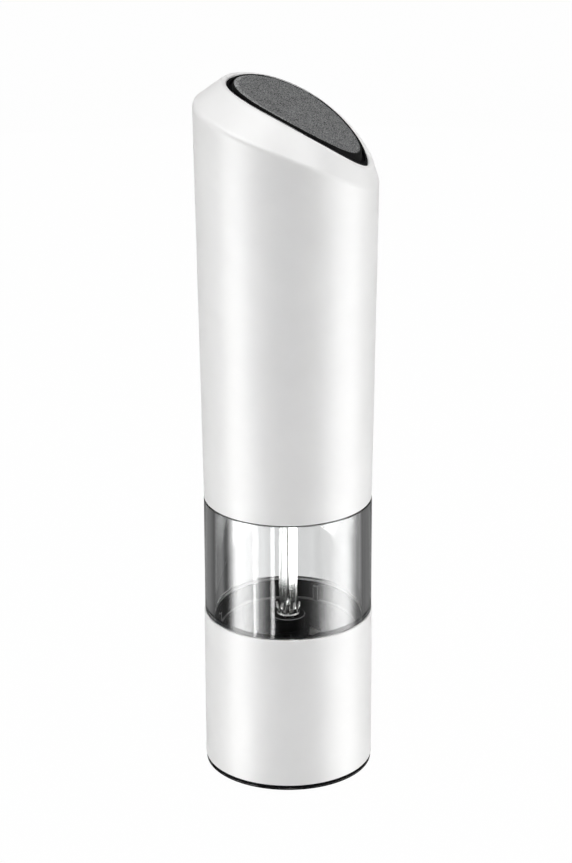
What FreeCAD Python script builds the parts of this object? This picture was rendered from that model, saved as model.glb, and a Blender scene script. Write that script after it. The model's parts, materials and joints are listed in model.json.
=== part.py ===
"""Battery pepper mill: a slanted head with a push button, a clear container and a ceramic grinder.

Millimetres, +Z up, origin on the mill's axis at the foot. The slanted top falls towards +X.
"""
import FreeCAD, Part
import math
import os

V = FreeCAD.Vector
Z_AXIS = V(0, 0, 1)

# Fits
slip = 0.05                    # radial room between pieces that are put together
running = 0.06                 # radial room round a turning pin or shaft
room = 0.35                    # room between pieces that pass each other
seam = 0.3                     # open joint between the head and the container

# Outer form
collar_radius = 26.0
collar_wall = 2.0
collar_height = 49.2
collar_ledge_height = 2.5      # inner ring that carries the grinder
collar_ledge_depth = 1.7
foot_height = 1.5
foot_setback = 0.2
foot_groove = 0.4
window_height = 37.3           # clear part of the container that shows
window_setback = 0.2
container_wall = 3.0
container_socket = 10.7        # lower end of the container, inside the collar
neck_height = 9.0
edge_round = 0.4
housing_setback = 0.27         # foot of the head inside the collar's radius
housing_flare = 0.01616        # growth of the radius per mm of height
housing_wall = 1.6

# Slanted top: an arch along Y, and a leaning cone that chamfers the shoulder
arch_radius = 87.6
arch_slope = 28.129            # degrees, at the opening's middle
chamfer_lean = 18.3
chamfer_half_angle = 35.2
lip_high = 1.574               # lip round the opening, at the top of the slope
lip_low = 1.885                # and at its foot
shoulder_round = 3.0
lip_round = 0.6
opening_x = 3.1
opening_inset_x = 4.96         # opening's edge inside the radius of the head's foot
opening_inset_y = 5.23

# Button
button_gap_x = 1.77            # black gap round the pad, along the slope
button_gap_y = 1.15
button_arch_radius = 97.0
button_proud = 0.35            # height of the pad over the arch, at the opening's middle
button_round = 0.7
pad_thickness = 1.8
carrier_thickness = 1.5
carrier_wall = 1.2
button_travel = 1.6
pusher_radius = 3.0
well_wall = 0.7
well_set_down = 0.5            # top of the well below the lip
well_floor = 2.0
button_spring_radius = 6.0
button_spring_wire = 0.8
button_spring_turns = 5
spring_seat_radius = 7.5
spring_seat_height = 12.0      # spring's length when the button is up

# Grinder
insert_wall = 1.2
insert_rim_drop = 0.2
insert_depth = 5.7
insert_floor = 2.0
insert_flange = 2.0
insert_seat = 1.2              # inner step of the cup's wall that carries the floor
insert_ribs = 3
insert_rib_depth = 1.0
insert_rib_width = 1.6
insert_rib_angle = 70.0
inlet_count = 3
inlet_span = 82.0              # degrees
inlet_margin = 1.4
hub_radius = 5.2
hub_height = 4.2
hub_below = 2.0
bush_wall = 1.0
shaft_side = 4.3
shaft_pin_radius = 2.0
shaft_turn = 5.6               # degrees; turns a corner of the shaft to the front
burr_radius = 13.0
burr_height = 16.0
burr_case_wall = 2.0
burr_drop = 2.8                # from the insert's floor down to the burr
outer_burr_teeth = 20
inner_burr_teeth = 14
inner_burr_height = 10.4
inner_burr_radius = 10.1       # at its lower edge
burr_gap = 0.8                 # at the lower edge, at the coarse end
burr_twist = 26.0
fine_tooth = 0.5               # depth of the teeth at the burrs' lower edges
entry_tooth = 1.7              # and at the outer burr's upper edge
entry_taper = 2.0
waist_taper = 0.9              # inner burr at its waist and its top
waist_tooth = 1.2
crown_taper = 3.6
crown_tooth = 1.4
burr_spring_radius = 4.3
burr_spring_wire = 0.8
burr_spring_turns = 4
wire_sides = 6                 # flats round a spring's wire
screw_count = 3
screw_radius = 1.1
screw_head_radius = 1.9
screw_head_height = 1.3
screw_grip = 8.0
screw_tip_room = 0.8           # left free under a screw's tip, and above its hole
screw_setoff = 1.95            # screws' axes outside the burr's case
boss_wall = 1.5
retainer_thickness = 2.0
retainer_lip = 1.1
bridge_drop = 4.0
bridge_thickness = 3.0
bridge_width = 4.0
bridge_boss_radius = 6.0
thrust_radius = 3.5
thrust_floor = 3.0
thrust_end_room = 1.5
fine_lift = 0.8                # rise of the inner burr from coarse to fine
knob_radius = 9.0
knob_height = 8.4
knob_clear = 0.8               # above the table
knob_grips = 18
knob_grip_radius = 1.0
outlet_radius = 17.0
outlet_wall = 1.2
outlet_height = 8.0
foot_spigot_height = 10.5
foot_spigot_wall = 1.7
crown_leaves = 10
crown_radius = 3.6
crown_plate = 0.5
crown_sheet = 0.45             # spring sheet, measured across
crown_tall = 5.6
leaf_bend = ((0.89, 0.05), (0.91, 0.14), (0.95, 0.33), (1.00, 0.55))
leaf_foot = 0.7                # half widths at foot and tip
leaf_tip = 0.25
clip_bend = ((0.92, 0.05), (0.98, 0.40), (0.98, 0.70), (0.93, 1.00))
clip_foot = 0.8
clip_tip = 0.4
clip_slot = 0.22

# Head plug and gears
plug_reach = 8.0               # below the neck's top
plug_wall = 2.0
plug_floor = 2.0
plug_flange = 2.0
seal_wire = 1.5
seal_squeeze = 0.1
bearing_wall = 2.0
output_hub_radius = 5.0
output_disc = 3.6
socket_room = 0.12
upper_disc = 2.5
gear_module = 0.5
sun_teeth = 12
planet_teeth = 18
planet_count = 3
pressure_angle = 20.0
tooth_thinning = 0.14          # play between the flanks
tooth_tip = 0.4
tooth_root = 0.575
gear_width = 5.0
gear_case_wall = 2.0
planet_pin_radius = 1.5
plate_thickness = 2.0
case_screw_setoff = 2.4        # screws' axes outside the gear case

# Motor, cells and switch
motor_radius = 9.8
motor_flat = 7.8               # from the axis to the can's two flats
motor_length = 32.0
motor_boss_radius = 3.0
motor_shaft_radius = 1.0
motor_shaft_grip = 9.0
motor_cap_radius = 8.6
motor_cap_height = 2.4
terminal_width = 2.2
terminal_height = 4.0
terminal_y = 4.8
strip_thickness = 0.5
cell_radius = 5.25
cell_length = 44.5
cell_nub_radius = 1.9
cell_nub_height = 1.0
cell_count = 6
cage_wall = 1.5
cage_deck = 2.0
cage_lift = 1.0                # deck's underside above the motor plate
cage_post_width = 5.0
cage_post_depth = 4.6
cage_window_span = 70.0
cage_window_margin = 4.0
contact_width = 5.0
contact_bow = 1.4
cover_thickness = 2.4
switch_length = 12.8
switch_width = 10.0
switch_height = 8.0
switch_foot = 1.5
plunger_radius = 1.8
plunger_proud = 2.0
plunger_depth = 3.4            # inside the switch
well_clear = 4.783             # underside of the well above the switch
well_depth = 27.353            # and below the arch, at the opening's middle
well_lug_depth = 4.6
well_lug_width = 5.0
well_lug_height = 6.0
well_lug_angles = (110.0, 180.0, 250.0)
well_screw_edge = 1.58         # screws' axes inside the edge of the well's floor

# Levels on the axis
collar_bottom = foot_height
collar_top = collar_bottom + collar_height
window_top = collar_top + window_height
neck_top = window_top + neck_height
housing_foot = window_top + seam
container_bottom = collar_top - container_socket
insert_bottom = container_bottom - insert_flange
insert_rim = collar_top - insert_rim_drop
floor_top = insert_rim - insert_depth
floor_bottom = floor_top - insert_floor
seat_bottom = floor_bottom - insert_seat
hub_top = floor_top + hub_height
hub_bottom = floor_bottom - hub_below
burr_top = floor_bottom - burr_drop
burr_bottom = burr_top - burr_height
retainer_bottom = burr_bottom - retainer_thickness
bridge_top = retainer_bottom - bridge_drop
bridge_bottom = bridge_top - bridge_thickness
knob_top = knob_clear + knob_height
boss_bottom = knob_top + room
thrust_top = bridge_top + thrust_end_room
thrust_bottom = boss_bottom + thrust_end_room
inner_burr_bottom = burr_bottom - slip * 8
inner_burr_top = inner_burr_bottom + inner_burr_height

# Radii on the axis
foot_radius = collar_radius - foot_setback
housing_foot_radius = collar_radius - housing_setback
collar_inner = collar_radius - collar_wall
window_radius = collar_radius - window_setback
container_inner = window_radius - container_wall
neck_radius = housing_foot_radius - housing_wall - room
insert_radius = container_inner - slip
insert_inner = insert_radius - insert_wall
shaft_corner = shaft_side / math.sqrt(2)
bush_inner = shaft_corner + running
bush_outer = bush_inner + bush_wall
burr_case_inner = burr_radius + slip
burr_case_outer = burr_case_inner + burr_case_wall
retainer_inner = burr_radius - retainer_lip
screw_circle = burr_case_outer + screw_setoff

# Levels and radii of the drive
plug_bottom = neck_top - plug_reach
plug_radius = container_inner - room
flange_bottom = neck_top + seam
flange_top = flange_bottom + plug_flange
head_bore = neck_radius - seam
bearing_top = flange_bottom + bearing_wall / 3
output_bottom = plug_bottom + slip
output_low = bearing_top + room
output_top = output_low + output_disc
low_gear_z = output_top + room
low_gear_top = low_gear_z + gear_width
upper_low = low_gear_top + room
upper_top = upper_low + upper_disc
high_gear_z = upper_top + room
high_gear_top = high_gear_z + gear_width
case_top = high_gear_top + room
plate_top = case_top + plate_thickness
socket_top = output_top - 2 * seam
shaft_top = socket_top - fine_lift - seam
ring_teeth = sun_teeth + 2 * planet_teeth
gear_centres = gear_module * (sun_teeth + planet_teeth) / 2
gear_case_radius = gear_module * ring_teeth / 2 + tooth_root + gear_case_wall
case_screw_circle = gear_case_radius + case_screw_setoff
planet_disc = gear_module * ring_teeth / 2 - tooth_tip - 2 * room
motor_top = plate_top + motor_length
motor_cap_top = motor_top + motor_cap_height
deck_bottom = plate_top + cage_lift
deck_top = deck_bottom + cage_deck
cell_bottom = deck_top + strip_thickness + slip
cell_top = cell_bottom + cell_length
cover_bottom = cell_top + slip + contact_bow + strip_thickness
cover_top = cover_bottom + cover_thickness
switch_top = cover_top + switch_height
plunger_top = switch_top + plunger_proud
well_bottom = switch_top + well_clear
well_top = well_bottom + well_floor
spring_seat = well_top + spring_seat_height
well_screw_circle = neck_radius - well_screw_edge
opening_rx = housing_foot_radius - opening_inset_x
opening_ry = housing_foot_radius - opening_inset_y
button_rx = opening_rx - button_gap_x
button_ry = opening_ry - button_gap_y
well_rx = opening_rx - slip
well_ry = opening_ry - slip
carrier_rx = well_rx - well_wall - room
carrier_ry = well_ry - well_wall - room
skirt_bottom = well_top + button_travel + 2 * room

# The arch touches its middle point at a slope; the chamfer's cone meets it along the lip's outer edge
arch_x = opening_x - arch_radius * math.sin(math.radians(arch_slope))
arch_z = well_bottom + well_depth - arch_radius * math.cos(math.radians(arch_slope))
lip_high_x = opening_x - opening_rx - lip_high
lip_low_x = opening_x + opening_rx + lip_low
lip_high_z = arch_z + math.sqrt(arch_radius ** 2 - (lip_high_x - arch_x) ** 2)
lip_low_z = arch_z + math.sqrt(arch_radius ** 2 - (lip_low_x - arch_x) ** 2)
high_lean = math.tan(math.radians(chamfer_half_angle + chamfer_lean))
low_lean = math.tan(math.radians(chamfer_half_angle - chamfer_lean))
above_head = (lip_low_x - lip_high_x + lip_high_z * high_lean + lip_low_z * low_lean) / (high_lean + low_lean)
chamfer_apex_x = lip_high_x + (above_head - lip_high_z) * high_lean

# Screws and cells
cover_screw_circle = head_bore - cage_post_depth / 2
cell_circle = head_bore - cell_radius - room
screw_angles = [360.0 * i / screw_count for i in range(screw_count)]
cell_angles = [360.0 * (i + 0.5) / cell_count for i in range(cell_count)]


def polar(radius, angle, z=0.0):
    """Point at a radius and an angle in degrees."""
    turn = math.radians(angle)
    return V(radius * math.cos(turn), radius * math.sin(turn), z)


def rod(radius, z0, z1, x=0.0, y=0.0):
    return Part.makeCylinder(radius, z1 - z0, V(x, y, z0))


def tube(outer, inner, z0, z1):
    return rod(outer, z0, z1).cut(rod(inner, z0 - 1, z1 + 1))


def block(x0, x1, y0, y1, z0, z1):
    return Part.makeBox(x1 - x0, y1 - y0, z1 - z0, V(x0, y0, z0))


def face_of(points):
    """Flat face inside a closed outline of points."""
    return Part.Face(Part.makePolygon(points + points[:1]))


def turned(profile):
    """Solid of revolution from an (r, z) outline."""
    return face_of([V(r, 0, z) for r, z in profile]).revolve(V(0, 0, 0), Z_AXIS, 360)


def prism(outline, z0, z1):
    """Upright solid from an (x, y) outline."""
    return face_of([V(x, y, z0) for x, y in outline]).extrude(V(0, 0, z1 - z0))


def turned_to(shape, angles):
    """Copies of a shape, turned about the axis to each angle."""
    copies = []
    for angle in angles:
        copy = shape.copy()
        copy.rotate(V(0, 0, 0), Z_AXIS, angle)
        copies.append(copy)
    return copies


def around(shape, count, start=0.0):
    """Copies of a shape, evenly turned about the axis."""
    return turned_to(shape, [start + i * 360.0 / count for i in range(count)])


def fused(first, others):
    return first.fuse(others).removeSplitter()


def square_bar(side, z0, z1):
    """Square bar on the axis, with one corner turned to the front."""
    corner = side / math.sqrt(2)
    bar = prism([(corner, 0), (0, corner), (-corner, 0), (0, -corner)], z0, z1)
    return turned_to(bar, [shaft_turn])[0]


def sector(outer, inner, z0, z1, span):
    """Part of a ring, centred on +X."""
    reach = outer / math.cos(math.radians(span / 2)) + 1 if span < 170 else outer * 20
    edge = polar(reach, span / 2)
    wedge = prism([(0, 0), (edge.x, -edge.y), (edge.x, edge.y)], z0, z1)
    return tube(outer, inner, z0, z1).common(wedge)


def ellipse_prism(rx, ry, z0, z1, x=opening_x):
    """Upright elliptical solid, its middle at x."""
    ends = [V(x + rx, 0, z0), V(x, ry, z0)]
    if ry > rx:
        ends.reverse()
    outline = Part.Wire(Part.Ellipse(ends[0], ends[1], V(x, 0, z0)).toShape())
    return Part.Face(outline).extrude(V(0, 0, z1 - z0))


def arc_edge(start, tangent, end):
    """Arc from start to end that leaves along the tangent."""
    chord = end - start
    along = V(chord).normalize()
    side = tangent - along * tangent.dot(along)
    swing = math.atan2(side.Length, tangent.dot(along))
    middle = start + chord * 0.5 + side.normalize() * (chord.Length / 2 * math.tan(swing / 2))
    return Part.Arc(start, middle, end).toShape()


def biarc(p0, t0, p1, t1):
    """Two arcs that join two points with their tangents."""
    span = p1 - p0
    total = t0 + t1
    bend = 2 * (1 - t0.dot(t1))
    reach = (math.sqrt(span.dot(total) ** 2 + bend * span.dot(span)) - span.dot(total)) / bend
    joint = (p0 + p1 + (t0 - t1) * reach) * 0.5
    t_joint = V(joint - p0 - t0 * reach).normalize()
    return [arc_edge(p0, t0, joint), arc_edge(joint, t_joint, p1)]


def coil(radius, wire, z0, z1, turns, x=0.0):
    """Helical spring between two levels; prints the least gap between its turns."""
    steps = 4 * turns
    rise = (z1 - z0 - wire) / steps
    points = []
    tangents = []
    for i in range(steps + 1):
        point = polar(radius, 90.0 * i, z0 + wire / 2 + rise * i) + V(x, 0, 0)
        points.append(point)
        tangents.append((polar(1, 90.0 * i + 90) + V(0, 0, rise * 2 / math.pi / radius)).normalize())
    edges = []
    for i in range(steps):
        edges += biarc(points[i], tangents[i], points[i + 1], tangents[i + 1])
    out = V(1, 0, 0)
    up = tangents[0].cross(out)
    corners = [polar(wire / 2, 360.0 * i / wire_sides) for i in range(wire_sides)]
    section = [points[0] + out * c.x + up * c.y for c in corners]
    gap = min(p.distanceToPoint(q) for i, p in enumerate(points) for q in points[i + 4:]) - wire
    print("least gap in a coil: %.2f mm" % gap)
    return Part.Wire(edges).makePipeShell([Part.makePolygon(section + section[:1])], True, False)


def star_loft(sections, teeth):
    """Toothed cone through (z, root radius, tip radius, twist) sections."""
    wires = []
    for z, root, tip, twist in sections:
        points = []
        for i in range(teeth):
            points.append(polar(tip, twist + 360.0 * i / teeth, z))
            points.append(polar(root, twist + 360.0 * (i + 0.5) / teeth, z))
        wires.append(Part.makePolygon(points + points[:1]))
    return Part.makeLoft(wires, True, True)


def screws(circle, angles, head_z, tip_z):
    """Pan-head screws from their heads' seats to their tips, up or down."""
    way = math.copysign(1, tip_z - head_z)
    shank = rod(screw_radius, min(head_z, tip_z), max(head_z, tip_z), circle)
    back = head_z - way * screw_head_height
    head = rod(screw_head_radius, min(head_z, back), max(head_z, back), circle)
    screw = fused(shank, [head])
    return Part.makeCompound(turned_to(screw, angles))


def base_cover():
    """Black foot ring with the pepper outlet, its spigot inside the collar."""
    spigot = collar_inner - slip
    ring = tube(foot_radius, outlet_radius, 0, foot_height)
    groove_z = (foot_height - foot_groove) / 2
    groove = tube(foot_radius + 1, foot_radius - foot_groove, groove_z, groove_z + foot_groove)
    wall = tube(spigot, spigot - foot_spigot_wall, foot_height, foot_height + foot_spigot_height)
    chute = tube(outlet_radius + outlet_wall, outlet_radius, foot_height, outlet_height)
    return fused(ring.cut(groove), [wall, chute])


def collar_sleeve():
    """White sleeve round the grinder, with the ledge that carries it."""
    outside = rod(collar_radius, collar_bottom, collar_top)
    outside = outside.makeChamfer(edge_round, [e for e in outside.Edges if e.Closed])
    bore = rod(collar_inner, collar_bottom - 1, collar_top + 1)
    ledge = tube(collar_inner + slip, collar_inner - collar_ledge_depth,
                 insert_bottom - collar_ledge_height, insert_bottom)
    return fused(outside.cut(bore), [ledge])


def container():
    """Clear container: a thick window, a socket in the collar and a neck in the head."""
    window = rod(window_radius, collar_top, window_top)
    window = window.makeChamfer(edge_round, [e for e in window.Edges if e.Closed])
    socket = rod(collar_inner - slip, container_bottom, collar_top + 1)
    neck = rod(neck_radius, window_top - 1, neck_top)
    return fused(window, [socket, neck]).cut(rod(container_inner, container_bottom - 1, neck_top + 1))


def screw_bosses(radius, z0, z1, circle=screw_circle):
    return around(rod(radius, z0, z1, circle), screw_count)


def insert_ring():
    """Black cup wall inside the container, on a flange under it, with ribs and a seat for the floor."""
    seat = insert_inner - insert_seat
    body = turned([
        (insert_inner, insert_rim), (insert_radius, insert_rim), (insert_radius, container_bottom),
        (collar_inner - slip, container_bottom), (collar_inner - slip, insert_bottom),
        (insert_inner, insert_bottom), (insert_inner, seat_bottom), (seat, seat_bottom),
        (seat, floor_bottom), (insert_inner, floor_bottom),
    ])
    rib = block(insert_inner - insert_rib_depth, insert_inner + slip, -insert_rib_width / 2,
                insert_rib_width / 2, floor_top, insert_rim)
    return fused(body, around(rib, insert_ribs, insert_rib_angle))


def grinder_floor():
    """Black floor of the cup: a plate with inlets over the burrs and a boss for the bush."""
    plate = rod(insert_inner - slip, floor_bottom, floor_top)
    boss = rod(hub_radius, hub_bottom, floor_top)
    inlet = sector(burr_case_inner - retainer_lip - inlet_margin, hub_radius + inlet_margin,
                   floor_bottom - 1, floor_top + 1, inlet_span)
    bore = rod(bush_outer + slip, hub_bottom - 1, floor_top + 1)
    return fused(plate, [boss]).cut(around(inlet, inlet_count) + [bore])


def hub_bush():
    """Bush of the shaft, with a broad head on the floor."""
    body = fused(rod(bush_outer, hub_bottom, floor_top), [rod(hub_radius, floor_top, hub_top)])
    return body.cut(rod(bush_inner, hub_bottom - 1, hub_top + 1))


def burr_case():
    """Case that holds the outer burr under the floor, with bosses for the retainer's screws."""
    shelf = burr_case_inner - retainer_lip
    flange = insert_inner - insert_seat - slip
    body = turned([
        (shelf, burr_top), (shelf, floor_bottom), (flange, floor_bottom), (flange, seat_bottom),
        (burr_case_outer, seat_bottom), (burr_case_outer, burr_bottom),
        (burr_case_inner, burr_bottom), (burr_case_inner, burr_top),
    ])
    bosses = screw_bosses(screw_radius + boss_wall, burr_bottom, burr_bottom + screw_grip)
    holes = screw_bosses(screw_radius + slip, burr_bottom - 1, burr_bottom + screw_grip - screw_tip_room)
    bore = rod(burr_case_inner, burr_bottom - 1, burr_top)
    return fused(body, bosses).cut(holes + [bore])


def outer_burr():
    """Ceramic ring with slanted teeth on its inside, finer towards the lower edge."""
    tip_low = inner_burr_radius + burr_gap
    tip_high = tip_low - entry_taper
    sections = [
        (burr_bottom - 1, tip_low + fine_tooth, tip_low, 0),
        (burr_bottom, tip_low + fine_tooth, tip_low, 0),
        (burr_top, tip_high + entry_tooth, tip_high, burr_twist),
        (burr_top + 1, tip_high + entry_tooth, tip_high, burr_twist),
    ]
    return rod(burr_radius, burr_bottom, burr_top).cut(star_loft(sections, outer_burr_teeth))


def inner_burr():
    """Ceramic cone with spiral teeth: coarse above to draw the corns in, fine at its lower edge."""
    middle = inner_burr_bottom + inner_burr_height * 0.38
    waist = inner_burr_radius - waist_taper
    crown = inner_burr_radius - crown_taper
    sections = [
        (inner_burr_bottom, inner_burr_radius - fine_tooth, inner_burr_radius, 0),
        (middle, waist - waist_tooth, waist, -burr_twist / 2),
        (inner_burr_top, crown - crown_tooth, crown, -burr_twist * 1.6),
    ]
    bore = square_bar(shaft_side + 2 * slip, inner_burr_bottom - 1, inner_burr_top + 1)
    return star_loft(sections, inner_burr_teeth).cut(bore)


def burr_retainer():
    """Ring that holds the outer burr, with a three-armed bridge for the adjuster."""
    ring = tube(screw_circle + screw_radius + boss_wall, retainer_inner, retainer_bottom, burr_bottom)
    riser_inner = retainer_inner + edge_round
    half = bridge_width / 2
    riser = block(riser_inner, burr_case_outer, -half, half, bridge_bottom, retainer_bottom + slip)
    arm = block(bridge_boss_radius - half, riser_inner + slip, -half, half, bridge_bottom, bridge_top)
    boss = rod(bridge_boss_radius, boss_bottom, bridge_top)
    half_turn = 180.0 / screw_count
    spokes = around(riser, screw_count, half_turn) + around(arm, screw_count, half_turn)
    body = fused(ring, spokes + [boss])
    bore = rod(thrust_radius + running, boss_bottom - 1, bridge_top + 1)
    return body.cut([bore] + screw_bosses(screw_radius + slip, retainer_bottom - 1, burr_bottom + 1))


def retainer_screws():
    return screws(screw_circle, screw_angles, retainer_bottom, burr_bottom + screw_grip - 2 * screw_tip_room)


def burr_spring():
    low = inner_burr_top + slip
    return coil(burr_spring_radius, burr_spring_wire, low, hub_bottom - slip, burr_spring_turns)


def thrust_cup():
    """Cup that carries the shaft's pin and rises with the knob."""
    pocket = rod(shaft_pin_radius + running, thrust_bottom + thrust_floor, thrust_top + 1)
    return rod(thrust_radius, thrust_bottom, thrust_top).cut(pocket)


def drive_shaft():
    """Square shaft with a round pin at its foot and a pointed lead at its top."""
    bar = square_bar(shaft_side, thrust_top + room, shaft_top)
    lead_height = shaft_side / 2
    lead = Part.makeCone(shaft_corner + lead_height, shaft_corner * 0.6, shaft_corner * 0.4 + lead_height,
                         V(0, 0, shaft_top - shaft_corner * 0.4 - lead_height))
    below = rod(shaft_side * 2, 0, shaft_top - shaft_corner * 0.4 - lead_height)
    pin = rod(shaft_pin_radius, thrust_bottom + thrust_floor + slip, thrust_top + room)
    return fused(bar.common(fused(below, [lead])), [pin])


def bent_leaf(bend, foot, tip):
    """Strip of spring sheet along a bend of radius and height shares, narrowing from foot to tip."""
    low = hub_top + room
    outer = [V(crown_radius * reach, -foot, low + crown_tall * rise) for reach, rise in bend]
    inner = [point - V(crown_sheet, 0, 0) for point in reversed(outer)]
    strip = face_of(outer + inner).extrude(V(0, 2 * foot, 0))
    taper = face_of([V(0, -foot, low), V(0, foot, low), V(0, tip, outer[-1].z), V(0, -tip, outer[-1].z)])
    return strip.common(taper.extrude(V(crown_radius, 0, 0)))


def star_washer():
    """Springy crown over the hub that stirs the corns: a ring of bent leaves and one tall slotted clip."""
    low = hub_top + room
    plate = rod(crown_radius, low, low + crown_plate)
    pitch = 360.0 / crown_leaves
    leaf = bent_leaf(leaf_bend, leaf_foot, leaf_tip)
    leaves = turned_to(leaf, [pitch * step + shaft_turn - 90 for step in range(1, crown_leaves)])
    clip = bent_leaf(clip_bend, clip_foot, clip_tip)
    slot = block(0, crown_radius, -clip_slot, clip_slot, low + crown_tall * 0.3, low + crown_tall * 0.64)
    leaves += turned_to(clip.cut(slot), [shaft_turn - 90])
    hole = square_bar(shaft_side + 2 * slip, low - 1, low + crown_tall + 1)
    return fused(plate, leaves).cut(hole)


def adjust_knob():
    """Fluted knob under the bridge, its stem in the bridge's boss."""
    disc = rod(knob_radius, knob_clear, knob_top)
    disc = disc.makeChamfer(edge_round, [e for e in disc.Edges if e.Closed])
    flute = rod(knob_grip_radius, knob_clear - 1, knob_top + 1, knob_radius + knob_grip_radius * 0.5)
    stem = rod(thrust_radius, knob_top, thrust_bottom - room / 2)
    return fused(disc.cut(around(flute, knob_grips)), [stem])


def head_plug():
    """Cup that closes the container's neck and carries the gear case."""
    groove = seal_wire / 2 + slip
    groove_z = plug_bottom + plug_reach / 2
    body = turned([
        (output_hub_radius + running, plug_bottom), (plug_radius, plug_bottom),
        (plug_radius, flange_bottom), (head_bore, flange_bottom), (head_bore, flange_top),
        (plug_radius - seal_wire - plug_wall, flange_top),
        (plug_radius - seal_wire - plug_wall, plug_bottom + plug_floor),
        (output_hub_radius + bearing_wall, plug_bottom + plug_floor),
        (output_hub_radius + bearing_wall, bearing_top), (output_hub_radius + running, bearing_top),
    ])
    floor = plug_bottom + plug_floor - slip
    seat = tube(gear_case_radius, gear_case_radius - gear_case_wall, floor, flange_top)
    bosses = screw_bosses(screw_radius + boss_wall, floor, flange_top, case_screw_circle)
    holes = screw_bosses(screw_radius + slip, flange_top - screw_grip, flange_top + 1, case_screw_circle)
    channel = tube(plug_radius + 1, plug_radius - seal_wire, groove_z - groove, groove_z + groove)
    return fused(body, [seat] + bosses).cut(holes + [channel])


def seal_ring():
    """Soft ring in the plug's groove, its section an octagon."""
    middle = V(plug_radius - seal_wire / 2 + seal_squeeze, 0, plug_bottom + plug_reach / 2)
    corners = [polar(seal_wire / 2, 22.5 + 45.0 * i) for i in range(8)]
    return turned([(middle.x + c.x, middle.z + c.y) for c in corners])


def gear_outline(teeth, thinning, tip, root, phase):
    """Points of an involute gear; the first tooth is centred on the phase angle."""
    pitch = gear_module * teeth / 2
    slant = math.radians(pressure_angle)
    half = math.pi / (2 * teeth) - thinning / (2 * pitch)
    flank = []
    for radius in (pitch - root, pitch, pitch + tip):
        roll = math.acos(min(1.0, pitch * math.cos(slant) / radius))
        lean = half + (math.tan(slant) - slant) - (math.tan(roll) - roll)
        flank.append((radius, math.degrees(lean)))
    points = []
    for i in range(teeth):
        middle = phase + 360.0 * i / teeth
        points += [polar(radius, middle - lean) for radius, lean in flank]
        points += [polar(radius, middle + lean) for radius, lean in reversed(flank)]
    return points


def gear(teeth, z0, z1, thinning=tooth_thinning, tip=tooth_tip, root=tooth_root, phase=0.0):
    outline = [(p.x, p.y) for p in gear_outline(teeth, thinning, tip, root, phase)]
    return prism(outline, z0, z1)


def gear_case():
    """Case of both gear stages, toothed inside, with lugs for its screws."""
    lug_top = flange_top + retainer_thickness
    lugs = screw_bosses(screw_radius + boss_wall, flange_top, lug_top, case_screw_circle)
    body = fused(rod(gear_case_radius, flange_top, case_top), lugs)
    teeth = gear(ring_teeth, flange_top - 1, case_top + 1, -tooth_thinning, tooth_root, tooth_tip,
                 180.0 / ring_teeth)
    holes = screw_bosses(screw_radius + slip, flange_top - 1, lug_top + 1, case_screw_circle)
    return body.cut([teeth] + holes)


def case_screws():
    seat = flange_top + retainer_thickness
    return screws(case_screw_circle, screw_angles, seat, flange_top - screw_grip + screw_tip_room)


def planet_pins(z0, z1):
    return around(rod(planet_pin_radius, z0, z1, gear_centres), planet_count)


def output_carrier():
    """Carrier of the low planets, its hub with a square socket for the shaft."""
    disc = rod(planet_disc, output_low, output_top)
    hub = rod(output_hub_radius, output_bottom, output_low)
    socket = square_bar(shaft_side + 2 * socket_room, output_bottom - 1, socket_top)
    return fused(disc, [hub] + planet_pins(output_top, low_gear_top)).cut(socket)


def upper_carrier():
    """Carrier of the high planets, with the sun wheel of the low stage under it."""
    disc = rod(planet_disc, upper_low, upper_top)
    sun = gear(sun_teeth, low_gear_z, upper_low)
    return fused(disc, [sun] + planet_pins(upper_top, high_gear_top))


def planet(z0, number):
    """Planet wheel on its pin, with a tooth space facing the sun and the ring."""
    angle = 360.0 * number / planet_count
    wheel = gear(planet_teeth, z0, z0 + gear_width, phase=angle + 180.0 / planet_teeth)
    wheel = wheel.cut(rod(planet_pin_radius + running, z0 - 1, z0 + gear_width + 1))
    wheel.translate(polar(gear_centres, angle))
    return wheel


def motor_shaft():
    return rod(motor_shaft_radius, high_gear_z, plate_top + motor_shaft_grip)


def motor_pinion():
    wheel = gear(sun_teeth, high_gear_z, high_gear_top)
    return wheel.cut(rod(motor_shaft_radius + slip, high_gear_z - 1, high_gear_top + 1))


def motor_plate():
    """Lid of the gear case that the motor stands on."""
    return tube(gear_case_radius, motor_boss_radius + slip, case_top, plate_top)


def motor_can():
    """Motor can with two flats and a bearing boss."""
    can = rod(motor_radius, plate_top, motor_top)
    can = can.makeChamfer(edge_round * 2, [e for e in can.Edges if e.Closed])
    can = can.common(block(-motor_radius, motor_radius, -motor_flat, motor_flat, plate_top, motor_top))
    boss = rod(motor_boss_radius, case_top + slip, plate_top)
    bore = rod(motor_shaft_radius + running, case_top - 1, plate_top + motor_shaft_grip + seam)
    return fused(can, [boss]).cut(bore)


def motor_end_cap():
    cap = rod(motor_cap_radius, motor_top, motor_cap_top)
    flat = motor_flat - edge_round * 2
    cap = cap.common(block(-motor_radius, motor_radius, -flat, flat, motor_top, motor_cap_top))
    slot = block(-terminal_width / 2 - slip, terminal_width / 2 + slip, terminal_y - slip,
                 terminal_y + strip_thickness + slip, motor_top + 1, motor_cap_top + 1)
    return cap.cut(around(slot, 2))


def motor_terminals():
    blade = block(-terminal_width / 2, terminal_width / 2, terminal_y, terminal_y + strip_thickness,
                  motor_top + 1, motor_cap_top + terminal_height)
    return Part.makeCompound(around(blade, 2))


def motor_leads():
    """Flat strips from the motor's terminals up through the cover, folded onto it."""
    inner = terminal_y + strip_thickness + slip
    outer = inner + strip_thickness
    rise = block(-terminal_width / 2, terminal_width / 2, inner, outer, motor_cap_top + seam,
                 cover_top + strip_thickness)
    fold = block(-terminal_width / 2, terminal_width / 2, inner, outer + terminal_height, cover_top,
                 cover_top + strip_thickness)
    return Part.makeCompound(around(fused(rise, [fold]), 2))


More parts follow.
